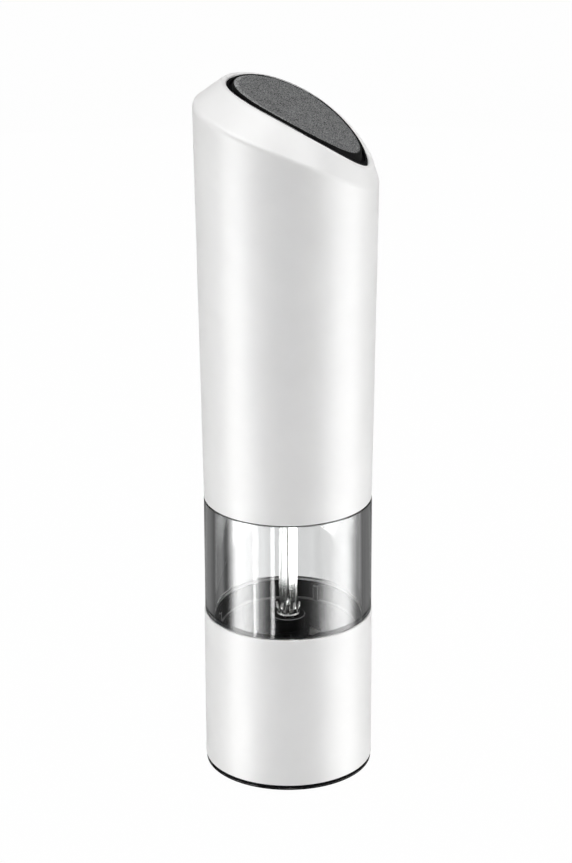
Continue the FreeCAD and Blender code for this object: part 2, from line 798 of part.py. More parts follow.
def battery_carrier():
    """Cage that stands on the plug: skirt, deck and posts between the cells."""
    skirt = tube(head_bore, head_bore - cage_wall, flange_top, deck_top)
    deck = tube(head_bore, motor_radius + room, deck_bottom, deck_top)
    post = block(head_bore - cage_post_depth, head_bore + 1, -cage_post_width / 2, cage_post_width / 2,
                 deck_bottom, cover_bottom).common(rod(head_bore, deck_bottom, cover_bottom))
    window = sector(head_bore + 1, head_bore - cage_wall - 1, flange_top + cage_window_margin,
                    deck_bottom - cage_window_margin, cage_window_span)
    body = fused(skirt, [deck] + around(post, cell_count))
    holes = screw_bosses(screw_radius + slip, cover_bottom - screw_grip, cover_bottom + 1, cover_screw_circle)
    return body.cut(around(window, screw_count, 180.0 / screw_count) + holes)


def batteries():
    """Six small round cells, each the other way up from its neighbours."""
    case = rod(cell_radius, cell_bottom, cell_top - cell_nub_height)
    case = case.makeChamfer(edge_round, [e for e in case.Edges if e.Closed])
    nub = rod(cell_nub_radius, cell_top - cell_nub_height, cell_top)
    cell = fused(case, [nub])
    cells = []
    for i, angle in enumerate(cell_angles):
        one = cell.copy()
        if i % 2:
            one.rotate(V(0, 0, (cell_bottom + cell_top) / 2), V(1, 0, 0), 180)
        one.translate(polar(cell_circle, angle))
        cells.append(one)
    return Part.makeCompound(cells)


def contact_strip(pair, z0, bow_z=None):
    """Flat strip across one or two cells, with bowed pads where bow_z is given."""
    angles = [cell_angles[i] for i in pair]
    ends = [polar(cell_circle, angle) for angle in angles]
    middle = (ends[0] + ends[-1]) * 0.5
    half = (ends[0] - ends[-1]).Length / 2 + contact_width / 2
    strip = block(-contact_width / 2, contact_width / 2, -half, half, z0, z0 + strip_thickness)
    strip.rotate(V(0, 0, 0), Z_AXIS, sum(angles) / len(angles))
    strip.translate(V(middle.x, middle.y, 0))
    if bow_z is None:
        return strip
    pads = [rod(contact_width / 2 - slip, bow_z, z0, end.x, end.y) for end in ends]
    return fused(strip, pads)


def lower_contacts():
    return Part.makeCompound([contact_strip(pair, deck_top) for pair in ((0, 1), (2, 3), (4, 5))])


def upper_contacts():
    strip_z = cover_bottom - strip_thickness
    links = ((0,), (1, 2), (3, 4), (5,))
    return Part.makeCompound([contact_strip(pair, strip_z, cell_top + slip) for pair in links])


def contact_cover():
    """Lid of the cage that presses the contacts and carries the switch."""
    lead = block(-terminal_width / 2 - room, terminal_width / 2 + room, terminal_y,
                 terminal_y + 2 * strip_thickness + room, cover_bottom - 1, cover_top + 1)
    holes = screw_bosses(screw_radius + slip, cover_bottom - 1, cover_top + 1, cover_screw_circle)
    return rod(head_bore, cover_bottom, cover_top).cut(around(lead, 2) + holes)


def cover_screws():
    return screws(cover_screw_circle, screw_angles, cover_top, cover_bottom - screw_grip + screw_tip_room)


def switch_body():
    """Push switch with a foot plate, on the cover."""
    half = switch_length / 2
    side = switch_width / 2
    body = block(opening_x - half, opening_x + half, -side, side, cover_top, switch_top)
    bore_bottom = switch_top - plunger_depth - button_travel - room
    bore = rod(plunger_radius + running, bore_bottom, switch_top + 1, opening_x)
    foot = block(opening_x - half - switch_foot, opening_x + half + switch_foot, -side, side,
                 cover_top, cover_top + switch_foot)
    return fused(body, [foot]).cut(bore)


def switch_plunger():
    stem = rod(plunger_radius, switch_top - plunger_depth, plunger_top, opening_x)
    return stem.makeChamfer(edge_round, [e for e in stem.Edges if e.Closed])


def arch_centre():
    return V(arch_x, 0, arch_z)


def below_arch(centre, radius):
    """All that lies under an arch along Y."""
    reach = 2 * housing_foot_radius
    arch = Part.makeCylinder(radius, 2 * reach, V(centre.x, -reach, centre.z), V(0, 1, 0))
    under = block(centre.x - radius, centre.x + radius, -reach, reach, centre.z - radius, centre.z)
    return fused(arch, [under])


def arched_face(shape, radius):
    """Face of a shape that lies on an arch of this radius."""
    for face in shape.Faces:
        if face.Surface.TypeId == "Part::GeomCylinder" and abs(face.Surface.Radius - radius) < slip:
            return face


def button_arch_centre():
    """Middle of the pad's arch, which leans as the top does at the opening's middle."""
    centre = arch_centre()
    run = opening_x - centre.x
    normal = V(run, 0, math.sqrt(arch_radius ** 2 - run ** 2)).normalize()
    return centre + normal * (arch_radius + button_proud - button_arch_radius)


def head_form(inset, foot):
    """Flaring body under the leaning chamfer cone, drawn in by an inset."""
    low = housing_foot_radius - inset + housing_flare * (foot - housing_foot)
    high = housing_foot_radius - inset + housing_flare * (above_head - housing_foot)
    body = Part.makeCone(low, high, above_head - foot, V(0, 0, foot))
    lean = math.radians(chamfer_lean)
    half = math.radians(chamfer_half_angle)
    axis = V(math.sin(lean), 0, math.cos(lean))
    apex = V(chamfer_apex_x, 0, above_head) - axis * (inset / math.sin(half))
    reach = (above_head - foot + 2 * housing_foot_radius) / math.cos(lean)
    cone = Part.makeCone(reach * math.tan(half), 0, reach, apex - axis * reach, axis)
    return body.common(cone)


def housing_shell():
    """White head: flaring sleeve, rounded slanted shoulder and a rolled lip round the opening."""
    form = head_form(0, housing_foot)
    crease = [e for e in form.Edges if min(e.BoundBox.ZLength, e.BoundBox.YLength) > shoulder_round]
    form = form.makeFillet(shoulder_round, crease)
    form = form.common(below_arch(arch_centre(), arch_radius))
    ceiling = below_arch(arch_centre(), arch_radius - housing_wall)
    hollow = head_form(housing_wall, housing_foot - 1).common(ceiling)
    shell = form.cut([hollow, ellipse_prism(opening_rx, opening_ry, well_top, above_head)])
    shell = shell.makeFillet(lip_round, arched_face(shell, arch_radius).Edges)
    inner = housing_foot_radius - housing_wall + housing_flare * (well_top - housing_foot)
    lug = block(inner - well_lug_depth, inner + housing_wall / 2, -well_lug_width / 2, well_lug_width / 2,
                well_top, well_top + well_lug_height)
    hole_top = well_top + well_lug_height - screw_tip_room
    hole = rod(screw_radius + slip, well_top - 1, hole_top, well_screw_circle)
    return fused(shell, turned_to(lug, well_lug_angles)).cut(turned_to(hole, well_lug_angles))


def button_well():
    """Black well for the button, with a floor screwed under the housing's lugs."""
    wall = ellipse_prism(well_rx, well_ry, well_bottom, above_head)
    wall = wall.cut(ellipse_prism(well_rx - well_wall, well_ry - well_wall, well_top, above_head + 1))
    wall = wall.common(below_arch(arch_centre(), arch_radius - well_set_down))
    floor = rod(neck_radius, well_bottom, well_top).common(head_form(housing_wall + room, well_bottom - 1))
    body = fused(wall, [floor])
    hole = rod(screw_radius + slip, well_bottom - 1, well_top + 1, well_screw_circle)
    passage = rod(pusher_radius + 2 * room, well_bottom - 1, well_top + 1, opening_x)
    return body.cut(turned_to(hole, well_lug_angles) + [passage])


def well_screws():
    tip = well_top + well_lug_height - 2 * screw_tip_room
    return screws(well_screw_circle, well_lug_angles, well_bottom, tip)


def button_spring():
    return coil(button_spring_radius, button_spring_wire, well_top + slip, spring_seat - slip,
                button_spring_turns, opening_x)


def button_pad():
    """Soft dark pad with an arched top and a rounded edge."""
    centre = button_arch_centre()
    pad = ellipse_prism(button_rx, button_ry, well_top, above_head)
    pad = pad.common(below_arch(centre, button_arch_radius))
    pad = pad.makeFillet(button_round, arched_face(pad, button_arch_radius).Edges)
    return pad.cut(below_arch(centre, button_arch_radius - pad_thickness))


def button_carrier():
    """Black cup under the pad, with the spring's seat and the pusher for the switch."""
    centre = button_arch_centre()
    under_pad = below_arch(centre, button_arch_radius - pad_thickness)
    under_crown = below_arch(centre, button_arch_radius - pad_thickness - carrier_thickness)
    cup = ellipse_prism(carrier_rx, carrier_ry, skirt_bottom, above_head).common(under_pad)
    hollow = ellipse_prism(carrier_rx - carrier_wall, carrier_ry - carrier_wall, skirt_bottom - 1, above_head)
    seat = rod(spring_seat_radius, spring_seat, above_head, opening_x).common(under_pad)
    pusher = rod(pusher_radius, plunger_top + room, spring_seat + 1, opening_x)
    return fused(cup.cut(hollow.common(under_crown)), [seat, pusher])


def build():
    pieces = [
        base_cover, collar_sleeve, container, insert_ring, grinder_floor, hub_bush, burr_case, outer_burr,
        burr_retainer, retainer_screws, burr_spring, thrust_cup, drive_shaft, inner_burr, star_washer,
        adjust_knob,
        head_plug, seal_ring, gear_case, case_screws, output_carrier, upper_carrier, motor_shaft,
        motor_pinion, motor_plate, motor_can, motor_end_cap, motor_terminals, motor_leads,
        battery_carrier, batteries, lower_contacts, upper_contacts, contact_cover, cover_screws,
        switch_body, switch_plunger, housing_shell, button_well, well_screws, button_spring,
        button_pad, button_carrier,
    ]
    shapes = {piece.__name__: piece() for piece in pieces}
    for number in range(planet_count):
        shapes["low_planet_%d" % (number + 1)] = planet(low_gear_z, number)
        shapes["high_planet_%d" % (number + 1)] = planet(high_gear_z, number)
    return shapes


os.makedirs("parts", exist_ok=True)
for name, shape in build().items():
    shape.exportStep("parts/%s.step" % name)
    print("%-16s %2d solids, %9.1f mm3, valid %s" % (name, len(shape.Solids), shape.Volume, shape.isValid()))
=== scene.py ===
# %% [markdown]
# # A battery pepper mill, dressed for the camera
# The solids of the mill come in as a fixed frame: every shape sits at its real place, in metres.
# This lesson gives each surface its finish and re-makes the pieces whose edges catch the light.
# Nothing is moved or resized: a new piece takes its place from the solid that it stands for.

# %% Load the frame
import json
import math
import bmesh
import bpy
from mathutils import Matrix, Vector


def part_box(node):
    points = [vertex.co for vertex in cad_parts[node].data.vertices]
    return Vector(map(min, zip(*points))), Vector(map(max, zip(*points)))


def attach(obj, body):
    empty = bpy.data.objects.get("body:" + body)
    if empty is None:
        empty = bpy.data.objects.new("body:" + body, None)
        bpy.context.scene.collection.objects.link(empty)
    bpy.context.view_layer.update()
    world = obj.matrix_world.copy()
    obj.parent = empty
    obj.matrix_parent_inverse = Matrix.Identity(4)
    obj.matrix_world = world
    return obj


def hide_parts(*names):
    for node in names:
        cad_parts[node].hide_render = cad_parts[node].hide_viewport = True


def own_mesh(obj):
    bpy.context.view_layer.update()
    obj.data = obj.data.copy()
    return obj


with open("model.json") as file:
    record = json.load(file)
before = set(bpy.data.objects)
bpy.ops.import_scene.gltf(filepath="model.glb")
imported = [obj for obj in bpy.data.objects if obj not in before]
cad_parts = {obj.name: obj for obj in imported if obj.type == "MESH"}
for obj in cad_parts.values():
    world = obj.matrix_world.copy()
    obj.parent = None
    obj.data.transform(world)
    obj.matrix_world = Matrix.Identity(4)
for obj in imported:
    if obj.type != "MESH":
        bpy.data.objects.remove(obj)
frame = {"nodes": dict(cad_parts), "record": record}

MM = 0.001
scene = bpy.context.scene
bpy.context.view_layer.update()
nodes = frame["nodes"]

# %% [markdown]
# ## The camera
# The photograph looks down on the mill at about 21 degrees through a long lens, so upright lines
# stay nearly parallel. The place and the lens come from fitting the outline of the mill, and are
# written here as plain numbers. A shorter lens would make the head look too large.

# %% Camera
CAMERA_PLACE = Vector((0.08767, -0.89152, 0.44966))
CAMERA_AIM = Vector((-0.0920, 0.9301, -0.3556))
CAMERA_ROLL = -0.0034
IMAGE_HEIGHT = 863
FOCAL_PIXELS = 3147.46
SENSOR_HEIGHT = 24.0

lens = bpy.data.cameras.new("photo_camera")
lens.sensor_fit = "VERTICAL"
lens.sensor_height = SENSOR_HEIGHT
lens.lens = FOCAL_PIXELS / IMAGE_HEIGHT * SENSOR_HEIGHT
camera = bpy.data.objects.new("photo_camera", lens)
scene.collection.objects.link(camera)
turn = CAMERA_AIM.to_track_quat("-Z", "Y").to_matrix() @ Matrix.Rotation(CAMERA_ROLL, 3, "Z")
camera.matrix_world = Matrix.Translation(CAMERA_PLACE) @ turn.to_4x4()
scene.camera = camera
scene.view_settings.view_transform = "Standard"
print("lens in mm:", round(lens.lens, 2))

# %% [markdown]
# ## A small kit for node materials
# Every finish here is a Principled shader with a little texture in it: a noise that shifts the
# roughness or the colour, and a bump that is too small to see as a shape. The nodes could be wired
# one by one; the helpers below add a node and fill its inputs in one line, so that each finish
# reads like a recipe.

# %% Nodes in one line
def fill(tree, socket, value):
    """Link a socket to a value that another node gives, or write a plain value into it."""
    if isinstance(value, bpy.types.NodeSocket):
        tree.links.new(value, socket)
    else:
        socket.default_value = value


def set_inputs(tree, node, **inputs):
    """Fill a node's inputs by name, with an underscore for each space."""
    for name, value in inputs.items():
        fill(tree, node.inputs[name.replace("_", " ")], value)


def add_node(tree, kind, **inputs):
    """New node with its inputs filled by name."""
    node = tree.nodes.new(kind)
    set_inputs(tree, node, **inputs)
    return node


def work_out(tree, operation, *values):
    """Sum, product or the like of numbers and sockets."""
    node = tree.nodes.new("ShaderNodeMath")
    node.operation = operation
    for socket, value in zip(node.inputs, values):
        fill(tree, socket, value)
    return node.outputs["Value"]


print("node helpers ready")

# %% [markdown]
# ## Noise, tones and bump
# A noise node gives values that crowd round one half, so its middle band is stretched before use.
# Three small functions then cover nearly all finishes: one spreads the noise over a range of
# roughness, one lets the colour wander between two tones, and one turns it into a fine bump.

# %% Recipes for a finish
NOISE_LOW, NOISE_HIGH = 0.3, 0.7
TONE_LOW, TONE_HIGH = 0.32, 0.68
finishes = {}


def new_finish(name):
    """Node tree of a new finish, with its Principled shader and its Object coordinates."""
    finish = bpy.data.materials.new(name)
    finish.use_nodes = True
    finishes[name] = finish
    tree = finish.node_tree
    place = tree.nodes.new("ShaderNodeTexCoord").outputs["Object"]
    print("finish", len(finishes), name)
    return tree, tree.nodes["Principled BSDF"], place


def grain(tree, place, scale, detail=3.0):
    """Fine noise; the scale is in grains per metre."""
    noise = add_node(tree, "ShaderNodeTexNoise", Vector=place, Scale=scale, Detail=detail)
    return noise.outputs["Fac"]


def spread(tree, value, low, high):
    """Noise stretched from its usual middle band to a range of numbers."""
    ramp = add_node(tree, "ShaderNodeMapRange", Value=value, From_Min=NOISE_LOW, From_Max=NOISE_HIGH,
                    To_Min=low, To_Max=high)
    return ramp.outputs["Result"]


def two_tone(tree, shader, value, dark, light, low=TONE_LOW, high=TONE_HIGH):
    """Colour that wanders between two tones, which it reaches at the low and the high value."""
    ramp = add_node(tree, "ShaderNodeValToRGB", Fac=value)
    stops = ramp.color_ramp.elements
    for stop, position, tone in zip(stops, (low, high), (dark, light)):
        stop.position = position
        stop.color = (*tone, 1)
    set_inputs(tree, shader, Base_Color=ramp.outputs["Color"])
    return stops


def bumped(tree, shader, value, depth, strength):
    """Bump from a value; the depth is in millimetres."""
    bump = add_node(tree, "ShaderNodeBump", Height=value, Strength=strength, Distance=depth * MM)
    set_inputs(tree, shader, Normal=bump.outputs["Normal"])


print("noise is stretched from", NOISE_LOW, "to", NOISE_HIGH)

# %% [markdown]
# ## White satin shell
# The head and the collar share one white satin finish. It is nearly plain from far away; close up it
# has the faint orange peel of a sprayed coat. The gloss is broad, so soft lamps show as wide upright
# bands, and a thin coat adds a little depth. A fully matt white would be simpler, but look chalky.

# %% White satin
tree, shader, place = new_finish("white_satin")
peel = grain(tree, place, 900.0, 2.0)
two_tone(tree, shader, grain(tree, place, 60.0), (0.815, 0.812, 0.808), (0.845, 0.842, 0.838))
set_inputs(tree, shader, Roughness=spread(tree, peel, 0.41, 0.47), Specular_IOR_Level=0.5,
           Coat_Weight=0.15, Coat_Roughness=0.30)
bumped(tree, shader, peel, 0.004, 0.3)

# %% [markdown]
# ## Black plastic
# The foot, the cup and the well are moulded in black with a fine matt grain and hardly any gloss.
# Edges that catch thin lines of light get a painted highlight in a paler grey. A face attribute
# marks those edges on the pieces that have them; it is added to the noise, so a marked face lands on a
# third, paler stop of the ramp. Elsewhere it is 0.

# %% Black plastic
# Painted highlight: marked edges land on a third, paler stop, for the thin lines of light they catch.
PAINTED_HIGHLIGHT_TONE = 0.22
PAINTED_HIGHLIGHT_STOP = 0.95
tree, shader, place = new_finish("black_plastic")
fine = grain(tree, place, 2600.0)
painted_highlight = add_node(tree, "ShaderNodeAttribute")
painted_highlight.attribute_name = "painted_highlight"
tone = work_out(tree, "ADD", grain(tree, place, 300.0), painted_highlight.outputs["Fac"])
stops = two_tone(tree, shader, tone, (0.004, 0.004, 0.0045), (0.008, 0.008, 0.0085))
stops.new(PAINTED_HIGHLIGHT_STOP).color = (PAINTED_HIGHLIGHT_TONE, PAINTED_HIGHLIGHT_TONE, PAINTED_HIGHLIGHT_TONE, 1)
set_inputs(tree, shader, Roughness=spread(tree, fine, 0.40, 0.54), Specular_IOR_Level=0.01)
bumped(tree, shader, fine, 0.02, 0.35)

# %% [markdown]
# ## Soft grey button
# The button has a rubbery coat with a speckle of lighter grains, each well under a millimetre. Two
# noises of unlike size keep the speckle from looking like a regular print. The side of the pad below
# its rim is black. The rim nearest to the viewer is paler than the middle: a painted highlight for the
# light that falls on it. Both follow the pad's outline, so the colour is scaled by how far out a point
# lies. A painted mask would need an image.

# %% Shade by the pad's outline
PAD_X, PAD_RX, PAD_RY = 3.1, 19.0, 19.35
REACH_LOW, REACH_HIGH = 0.85, 1.05


def by_outline(tree, place, middle_x, middle_y, *stops):
    """Grey between two (reach, share) stops; a reach of 1 is the pad's outline, moved to a middle."""
    flat = add_node(tree, "ShaderNodeMapping", Vector=place,
                    Location=(-middle_x / PAD_RX, -middle_y / PAD_RY, 0),
                    Scale=(1 / (PAD_RX * MM), 1 / (PAD_RY * MM), 0))
    reach = add_node(tree, "ShaderNodeVectorMath", Vector=flat.outputs["Vector"])
    reach.operation = "LENGTH"
    edge = add_node(tree, "ShaderNodeMapRange", Value=reach.outputs["Value"], From_Min=REACH_LOW,
                    From_Max=REACH_HIGH)
    ramp = add_node(tree, "ShaderNodeValToRGB", Fac=edge.outputs["Result"])
    for stop, (reached, share) in zip(ramp.color_ramp.elements, stops):
        stop.position = (reached - REACH_LOW) / (REACH_HIGH - REACH_LOW)
        stop.color = (share, share, share, 1)
    return ramp.outputs["Color"]


print("pad in mm:", 2 * PAD_RX, "by", 2 * PAD_RY)

# %% Soft grey rubber coat
SPECK_SHARE, CLOUD_SHARE = 0.9, 0.1
RIM_HIGHLIGHT_X, RIM_HIGHLIGHT_Y = 1.5, 1.0
tree, shader, place = new_finish("soft_grey")
speck = grain(tree, place, 2600.0, 2.0)
cloud = work_out(tree, "MULTIPLY", grain(tree, place, 420.0, 2.0), CLOUD_SHARE)
mottle = work_out(tree, "MULTIPLY_ADD", speck, SPECK_SHARE, cloud)
two_tone(tree, shader, mottle, (0.055, 0.056, 0.0565), (0.43, 0.435, 0.437), 0.39, 0.61)
# Painted highlight: the pad is dimmed except at its rim towards the viewer, which keeps the full tone.
rim_highlight = by_outline(tree, place, PAD_X + RIM_HIGHLIGHT_X, RIM_HIGHLIGHT_Y, (0.965, 0.55), (1.03, 1.0))
skirt = by_outline(tree, place, PAD_X, 0.0, (0.965, 1.0), (0.975, 0.02))
shade = shader.inputs["Base Color"].links[0].from_socket
for share in (rim_highlight, skirt):
    scaled = add_node(tree, "ShaderNodeVectorMath", Vector=shade)
    scaled.operation = "SCALE"
    fill(tree, scaled.inputs["Scale"], share)
    shade = scaled.outputs["Vector"]
set_inputs(tree, shader, Base_Color=shade, Roughness=0.55, Specular_IOR_Level=0.02, Sheen_Weight=0.02,
           Sheen_Roughness=0.5)
bumped(tree, shader, speck, 0.06, 0.5)

# %% [markdown]
# ## Clear container
# The window is thick clear plastic. Its bend of light gives the dark and pale upright lines near
# the sides, so it is a real solid wall with an inside and an outside, and no flat see-through film.
# A touch of uneven gloss keeps the reflections from being perfect.

# %% Clear acrylic
tree, shader, place = new_finish("clear_acrylic")
wipe = grain(tree, place, 140.0, 5.0)
set_inputs(tree, shader, Base_Color=(0.985, 0.99, 0.99, 1), Transmission_Weight=1.0, IOR=1.49,
           Roughness=spread(tree, wipe, 0.0, 0.03))

# %% [markdown]
# ## Metals
# The shaft is drawn bar: fine lines run along it, so its noise is stretched along the mill's axis.
# Springs, screws and the motor can are plainer steels. A Mapping node does the stretching, because a
# noise that is squeezed in one direction looks like drawn or brushed metal.

# %% Steels and brass
STREAK_SHADE = 0.9


def metal(name, colour, low, high, lines):
    """Metal whose roughness follows fine lines; lines gives grains per metre along X, Y and Z."""
    tree, shader, place = new_finish(name)
    stretch = add_node(tree, "ShaderNodeMapping", Vector=place, Scale=lines)
    streak = grain(tree, stretch.outputs["Vector"], 1.0)
    two_tone(tree, shader, streak, [STREAK_SHADE * part for part in colour], colour)
    set_inputs(tree, shader, Roughness=spread(tree, streak, low, high), Metallic=1.0)
    bumped(tree, shader, streak, 0.01, 0.25)


metal("bright_steel", (0.86, 0.86, 0.85), 0.16, 0.30, (2200, 2200, 60))
metal("spring_steel", (0.60, 0.60, 0.61), 0.25, 0.40, (900, 900, 900))
metal("motor_steel", (0.66, 0.67, 0.68), 0.30, 0.45, (120, 120, 1800))
metal("brass_strip", (0.80, 0.62, 0.32), 0.22, 0.38, (400, 400, 1400))

# %% [markdown]
# ## Ceramic, gear plastic and rubber
# These are inside and show when the head is lifted off. The burrs are fired ceramic with tiny
# pores, the gears are natural plastic that looks waxy, and the seal is dull rubber. All three are one
# recipe with other numbers; only the gears also let some light in below their surface.

# %% Inside finishes
CLOUD_SIZE = 9


def moulded(name, dark, light, low, high, scale, depth):
    """Moulded or fired surface: two close tones in clouds, uneven gloss and a fine bump."""
    tree, shader, place = new_finish(name)
    fine = grain(tree, place, scale)
    two_tone(tree, shader, grain(tree, place, scale / CLOUD_SIZE), dark, light)
    set_inputs(tree, shader, Roughness=spread(tree, fine, low, high))
    bumped(tree, shader, fine, depth, 0.4)
    return tree, shader


moulded("ceramic_white", (0.74, 0.73, 0.69), (0.82, 0.81, 0.77), 0.45, 0.65, 1800.0, 0.03)
tree, waxy = moulded("gear_plastic", (0.68, 0.67, 0.62), (0.74, 0.73, 0.69), 0.38, 0.50, 1200.0, 0.01)
set_inputs(tree, waxy, Subsurface_Weight=0.15, Subsurface_Scale=0.6 * MM)
moulded("seal_rubber", (0.025, 0.025, 0.026), (0.04, 0.04, 0.042), 0.5, 0.7, 1500.0, 0.03)

# %% [markdown]
# ## Cells
# The cells carry a plain printed film with a darker body and a pale band at the upper end. The band
# could be a second piece of film; here it is a step in the colour, by the height that the Object
# coordinates give.

# %% Cell jacket
BAND_RISE, BAND_BLUR = 30.0, 0.4
tree, shader, place = new_finish("cell_jacket")
height = add_node(tree, "ShaderNodeSeparateXYZ", Vector=place).outputs["Z"]
band_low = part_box("batteries")[0][2] + BAND_RISE * MM
band = add_node(tree, "ShaderNodeMapRange", Value=height, From_Min=band_low,
                From_Max=band_low + BAND_BLUR * MM)
two_tone(tree, shader, band.outputs["Result"], (0.10, 0.17, 0.26), (0.42, 0.43, 0.45), 0.0, 1.0)
film = grain(tree, place, 500.0)
set_inputs(tree, shader, Roughness=spread(tree, film, 0.25, 0.29), Metallic=0.5)
print("band from z in mm:", round(band_low / MM, 1))

# %% [markdown]
# ## Dress the solids
# Each solid names a material slot in its record. Reading the slot from there keeps one source of
# truth: if a solid changes its slot, it changes its finish here too.

# %% Finish by slot
for part in frame["record"]["subparts"]:
    slots = nodes[part["node"]].data.materials
    slots.clear()
    slots.append(finishes[part["material_slot"]])

# %% [markdown]
# ## From outline to piece
# Most of what shows is turned work: rings and sleeves about one axis. Such a piece is an outline
# that is spun a full turn. It is then smoothed, gets its finish and rides on the body that it moves
# with. Weighted normals keep the long walls straight beside their narrow bevels.

# %% Helpers for spun pieces
ROUND_STEPS = 160
WELD = 0.002
FACE_WEIGHT = 80


def weld(bm):
    """Merge doubled points and point all faces outwards."""
    bmesh.ops.remove_doubles(bm, verts=bm.verts, dist=WELD * MM)
    bmesh.ops.recalc_face_normals(bm, faces=bm.faces)


def as_object(bm, name):
    """Object with the mesh of a bmesh, linked to the scene."""
    mesh = bpy.data.meshes.new(name)
    bm.to_mesh(mesh)
    bm.free()
    piece = bpy.data.objects.new(name, mesh)
    scene.collection.objects.link(piece)
    return piece


def finished(bm, name, body, slot, stands_for=()):
    """Piece from a bmesh: smooth, weighted, dressed, riding on its body in place of its solids."""
    weld(bm)
    piece = as_object(bm, name)
    piece.data.materials.append(finishes[slot])
    piece.data.shade_smooth()
    weights = piece.modifiers.new("weighted_normals", "WEIGHTED_NORMAL")
    weights.weight = FACE_WEIGHT
    weights.keep_sharp = True
    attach(piece, body)
    if stands_for:
        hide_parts(*stands_for)
    print(name, "has", len(piece.data.polygons), "faces")
    return piece


def spin_ring(bm, outline, steps=ROUND_STEPS):
    """Closed (radius, height) outline in millimetres, spun a full turn about the mill's axis."""
    points = [bm.verts.new((r * MM, 0, z * MM)) for r, z in outline]
    edges = [bm.edges.new((points[i - 1], points[i])) for i in range(len(points))]
    bmesh.ops.spin(bm, geom=points + edges, cent=(0, 0, 0), axis=(0, 0, 1), angle=math.tau,
                   steps=steps, use_merge=True)
    weld(bm)


def turned(bm, verts, degrees):
    """Turn points about the mill's axis."""
    bmesh.ops.rotate(bm, cent=(0, 0, 0), matrix=Matrix.Rotation(math.radians(degrees), 3, "Z"), verts=verts)


print("a full turn has", ROUND_STEPS, "steps")

# %% [markdown]
# ## Soft edges
# A real moulded edge always has a small radius, and that radius is what catches a line of light. So
# the sharp rings of a spun piece are bevelled. A Bevel modifier would round every edge alike; a chooser
# picks the rings here, because an outer rim needs another width than a seat that nobody sees.

# %% Helpers for edges
SHARP = math.radians(35)
RING_ROOM = 0.05


def bevel(bm, edges, width, segments, clamp=False):
    """Round edges by a width in millimetres; gives back the new faces."""
    made = bmesh.ops.bevel(bm, geom=edges, offset=width * MM, offset_type="OFFSET", segments=segments,
                           profile=0.5, affect="EDGES", material=-1, clamp_overlap=clamp)
    return made["faces"]


def soften(bm, width, chosen=None, segments=3):
    """Round every sharp edge, or only those that the chooser takes; gives back the new faces."""
    sharp = [e for e in bm.edges if len(e.link_faces) == 2 and e.calc_face_angle(0) > SHARP]
    if chosen:
        sharp = [e for e in sharp if chosen(e)]
    return bevel(bm, sharp, width, segments, clamp=True)


def at_radius(radius, *heights):
    """Chooser for rings at a radius, and at one of the heights if any are given."""
    def chosen(edge):
        point = edge.verts[0].co
        near = abs(point.xy.length - radius * MM) < RING_ROOM * MM
        return near and (not heights or any(abs(point.z - z * MM) < RING_ROOM * MM for z in heights))
    return chosen


def paint_highlight(bm, faces, share=1.0):
    """Mark faces for a painted highlight, which black plastic shows in a paler tone."""
    for face in faces:
        face[bm.faces.layers.float["painted_highlight"]] = share


print("edges over", round(math.degrees(SHARP)), "degrees count as sharp")

# %% [markdown]
# ## Sizes from the solids
# A new piece has to fill the place of its solid exactly. Three short functions read a solid's box in
# millimetres, so that outer sizes come from the frame. Inner steps, which no box can tell, are plain
# numbers beside the piece that they belong to.

# %% Measure a solid
def top_of(node):
    """Height of a solid's top."""
    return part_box(node)[1][2] / MM


def bottom_of(node):
    """Height of a solid's underside."""
    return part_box(node)[0][2] / MM


def reach_of(node):
    """Largest Y of a solid, its radius if it is round."""
    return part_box(node)[1][1] / MM


print("collar radius and top:", round(reach_of("collar_sleeve"), 2), round(top_of("collar_sleeve"), 2))

# %% [markdown]
# ## Collar
# The white collar has a crisp but soft upper edge against the window, and a smaller one above the
# foot. Inside it has a bore with one ledge. All of it is one outline that is spun, since the collar is
# round and its wall has the same section all the way.

# %% White collar
COLLAR_BORE = 24.0
LEDGE_BORE = 22.3
LEDGE_TOP, LEDGE_BOTTOM = 38.0, 35.5
COLLAR_TOP_ROUND, COLLAR_LOW_ROUND = 0.45, 0.30
collar_radius = reach_of("collar_sleeve")
collar_low, collar_top = bottom_of("collar_sleeve"), top_of("collar_sleeve")
bm = bmesh.new()
spin_ring(bm, [
    (COLLAR_BORE, collar_low), (collar_radius, collar_low), (collar_radius, collar_top),
    (COLLAR_BORE, collar_top), (COLLAR_BORE, LEDGE_TOP), (LEDGE_BORE, LEDGE_TOP),
    (LEDGE_BORE, LEDGE_BOTTOM), (COLLAR_BORE, LEDGE_BOTTOM),
])
soften(bm, COLLAR_TOP_ROUND, at_radius(collar_radius, collar_top), 4)
soften(bm, COLLAR_LOW_ROUND, at_radius(collar_radius, collar_low), 4)
finished(bm, "white_collar", "base", "white_satin", ["collar_sleeve"])

# %% [markdown]
# ## Foot
# The black foot is two thin lips with a groove between them. The groove is shadow, and the upper edge
# of the lower lip carries a painted highlight: one fine grey line all the way round, for the light that
# this edge catches. That line is marked on the bevel's own faces, so it stays as thin as the edge.

